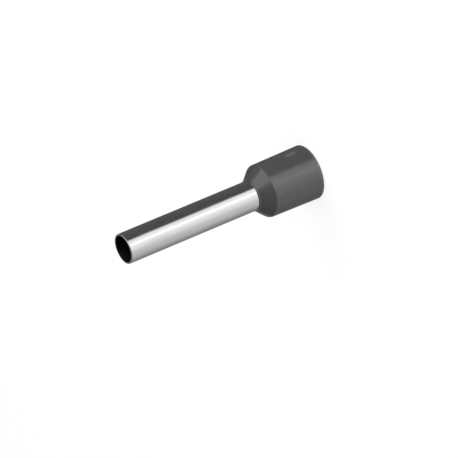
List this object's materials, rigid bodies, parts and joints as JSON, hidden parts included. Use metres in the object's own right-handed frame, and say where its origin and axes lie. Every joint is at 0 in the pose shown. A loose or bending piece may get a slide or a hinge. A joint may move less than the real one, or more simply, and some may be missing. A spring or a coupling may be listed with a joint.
{
  "type": "wire ferrule",
  "caption": "Insulated wire end sleeve: a thin straight metal tube belled into a short, slightly tapered plastic collar with a conical shoulder and an open mouth.",
  "frame": {"origin": "centre of the collar's mouth, in the plane of the rim that the ferrule stands on", "axes": "+Z along the common axis, from the mouth of the collar to the tip of the sleeve"},
  "size_m": [0.0046, 0.0046, 0.0176],
  "materials": {
    "tinned_metal": "bright tin plate on drawn copper tube",
    "collar_plastic": "satin moulded plastic, dark grey"
  },
  "bodies": {
    "root": {"sleeve": "tinned_metal", "collar": "collar_plastic"}
  },
  "joints": []
}
